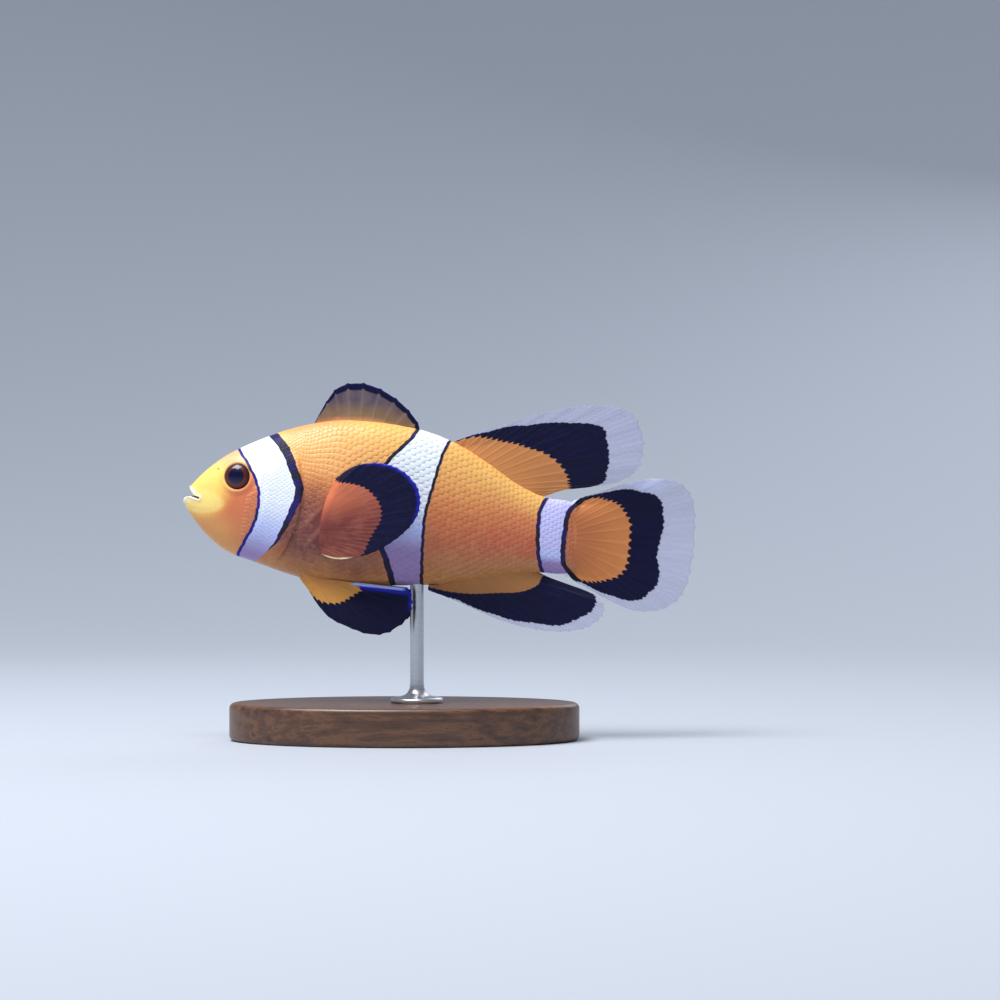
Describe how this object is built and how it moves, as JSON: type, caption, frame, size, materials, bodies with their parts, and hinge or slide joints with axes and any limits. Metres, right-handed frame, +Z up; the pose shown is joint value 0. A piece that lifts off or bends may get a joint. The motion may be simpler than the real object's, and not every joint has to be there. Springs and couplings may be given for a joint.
{
  "type": "clownfish",
  "caption": "Life-size swimming clownfish, orange with white bands and black-edged fins, held over a flat oval base by a thin rod.",
  "frame": {"origin": "on the underside of the stand's base, below the axis of the rod", "axes": "+X from the head towards the tail, -Y the fish's left side, +Z up; millimetre sizes stored in metres"},
  "size_m": [0.0821, 0.034, 0.0573],
  "materials": {
    "skin": "wet orange fish skin with fine scales, white bands and black lines",
    "eye": "clear glossy eye, dark reddish-brown ring round a black pupil",
    "fin": "thin rayed fin web, orange at the base, black outside, clear at the rim",
    "stand_wood": "dark satin-oiled walnut",
    "stand_steel": "fine turned steel"
  },
  "bodies": {
    "root": {"head": "skin", "lower_jaw": "skin", "gill_cover_left": "skin", "gill_cover_right": "skin", "trunk": "skin", "tail_stem": "skin", "eye_left": "eye", "eye_right": "eye", "dorsal_fin_front": "fin", "dorsal_fin_rear": "fin", "caudal_fin": "fin", "anal_fin": "fin", "pelvic_fin_left": "fin", "pelvic_fin_right": "fin", "pectoral_fin_left": "fin", "pectoral_fin_right": "fin", "stand_base": "stand_wood", "stand_rod": "stand_steel"}
  },
  "joints": []
}
